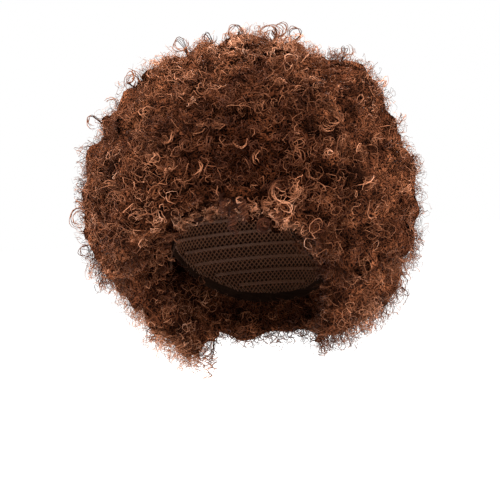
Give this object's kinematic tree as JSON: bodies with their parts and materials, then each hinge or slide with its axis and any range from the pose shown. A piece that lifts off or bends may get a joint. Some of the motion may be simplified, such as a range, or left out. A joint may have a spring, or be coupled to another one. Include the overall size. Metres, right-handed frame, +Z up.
{
  "type": "afro wig",
  "caption": "Full round afro wig: a net cap with an elastic edge band under a thick ball of tight curls with an arched face opening and a curly fringe.",
  "frame": {"origin": "inside top of the cap, where the crown of the head sits", "axes": "+Z up, the face opening faces -Y, the wearer's left is +X"},
  "size_m": [0.3152, 0.3042, 0.3218],
  "materials": {
    "hair": "curled synthetic hair, dark brown with copper lights",
    "cap_net": "knitted net with sewn rows of hair",
    "edge_band": "woven elastic"
  },
  "bodies": {
    "root": {"cap_net": "cap_net", "edge_band": "edge_band", "crown_hair": "hair", "front_hair": "hair", "left_hair": "hair", "back_hair": "hair", "nape_hair": "hair", "right_hair": "hair", "fringe_hair": "hair"}
  },
  "joints": []
}
